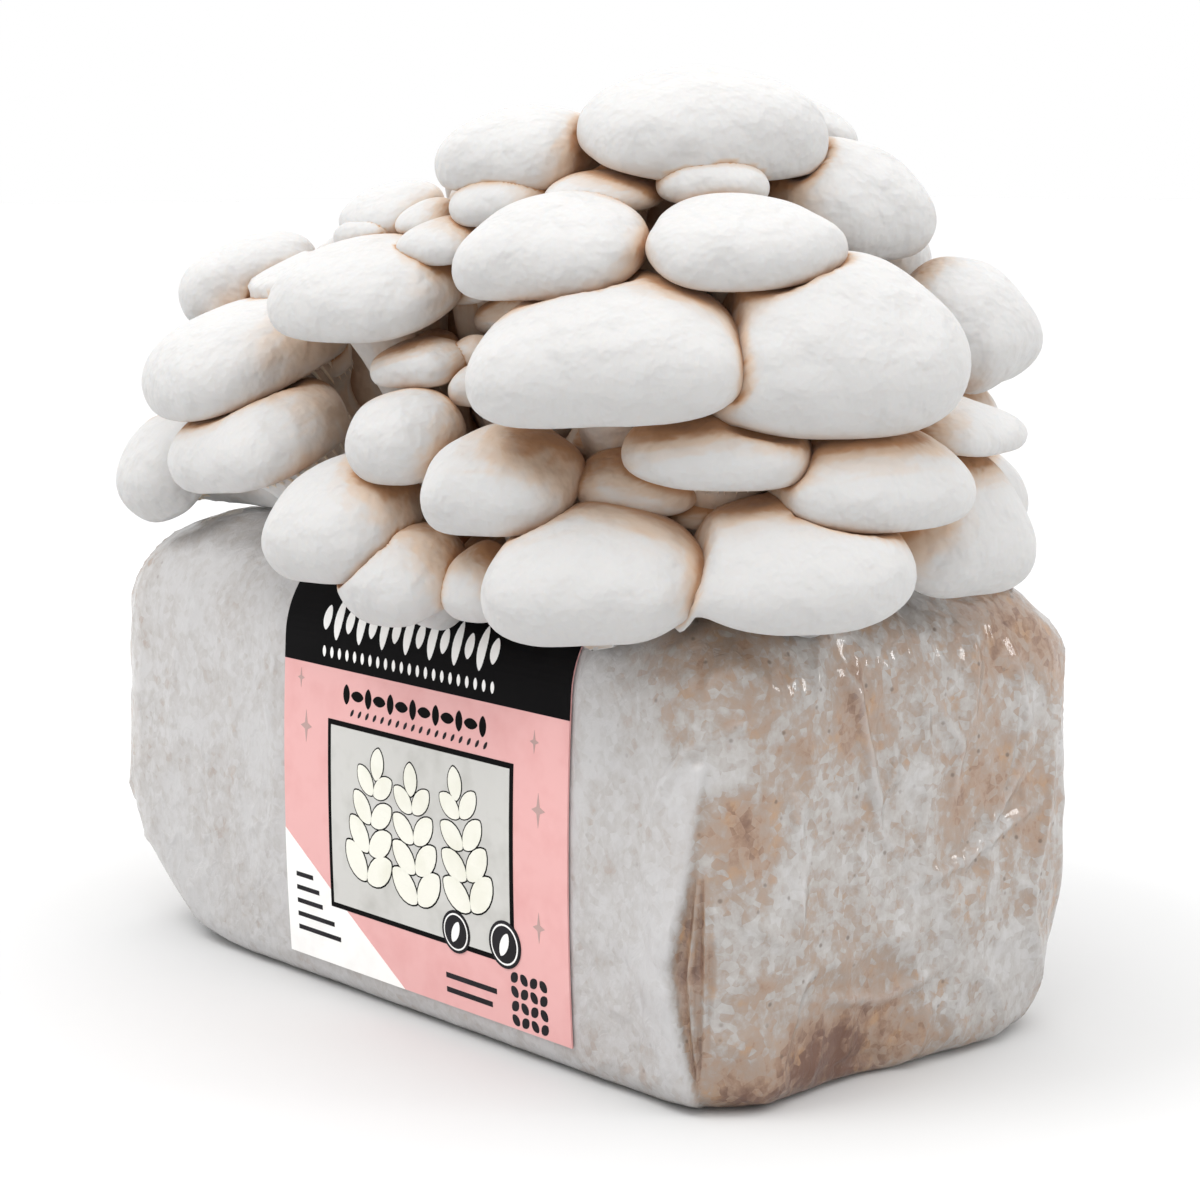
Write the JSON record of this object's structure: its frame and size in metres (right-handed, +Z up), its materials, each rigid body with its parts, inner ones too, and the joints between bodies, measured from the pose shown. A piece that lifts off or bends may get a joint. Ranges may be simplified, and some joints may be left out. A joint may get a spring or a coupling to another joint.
{
  "type": "oyster mushroom grow kit",
  "caption": "Bagged sawdust grow block with a plain printed label and a dense clump of white oyster mushrooms fruiting from its open top.",
  "frame": {"origin": "middle of the bag's footprint, on the surface that the bag rests on", "axes": "+X along the block's long side, to the right when the label is read; the label faces -Y; +Z up"},
  "size_m": [0.2397, 0.1605, 0.191],
  "materials": {
    "mushroom": "soft matte mushroom skin",
    "clump_base": "matte fused stem tissue",
    "substrate": "sawdust grown through with white mycelium",
    "film": "clear polypropylene bag film",
    "label": "semi-gloss printed paper"
  },
  "bodies": {
    "root": {"clump_base": "clump_base", "crown_mushroom_1": "mushroom", "crown_mushroom_2": "mushroom", "crown_mushroom_3": "mushroom", "crown_mushroom_4": "mushroom", "edge_mushroom_1": "mushroom", "edge_mushroom_2": "mushroom", "edge_mushroom_3": "mushroom", "edge_mushroom_4": "mushroom", "grow_bag": "film", "inner_mushroom_1": "mushroom", "inner_mushroom_2": "mushroom", "inner_mushroom_3": "mushroom", "inner_mushroom_4": "mushroom", "inner_mushroom_5": "mushroom", "inner_mushroom_6": "mushroom", "label": "label", "lower_mushroom_1": "mushroom", "lower_mushroom_2": "mushroom", "lower_mushroom_3": "mushroom", "lower_mushroom_4": "mushroom", "lower_mushroom_5": "mushroom", "lower_mushroom_6": "mushroom", "lower_mushroom_7": "mushroom", "middle_mushroom_1": "mushroom", "middle_mushroom_2": "mushroom", "middle_mushroom_3": "mushroom", "middle_mushroom_4": "mushroom", "middle_mushroom_5": "mushroom", "middle_mushroom_6": "mushroom", "middle_mushroom_7": "mushroom", "rear_mushroom_1": "mushroom", "rear_mushroom_10": "mushroom", "rear_mushroom_11": "mushroom", "rear_mushroom_12": "mushroom", "rear_mushroom_13": "mushroom", "rear_mushroom_14": "mushroom", "rear_mushroom_15": "mushroom", "rear_mushroom_16": "mushroom", "rear_mushroom_17": "mushroom", "rear_mushroom_2": "mushroom", "rear_mushroom_3": "mushroom", "rear_mushroom_4": "mushroom", "rear_mushroom_5": "mushroom", "rear_mushroom_6": "mushroom", "rear_mushroom_7": "mushroom", "rear_mushroom_8": "mushroom", "rear_mushroom_9": "mushroom", "substrate_block": "substrate", "upper_mushroom_1": "mushroom", "upper_mushroom_2": "mushroom", "upper_mushroom_3": "mushroom", "upper_mushroom_4": "mushroom", "upper_mushroom_5": "mushroom", "upper_mushroom_6": "mushroom", "upper_mushroom_7": "mushroom", "upper_mushroom_8": "mushroom", "young_mushroom_1": "mushroom", "young_mushroom_2": "mushroom", "young_mushroom_3": "mushroom"}
  },
  "joints": []
}
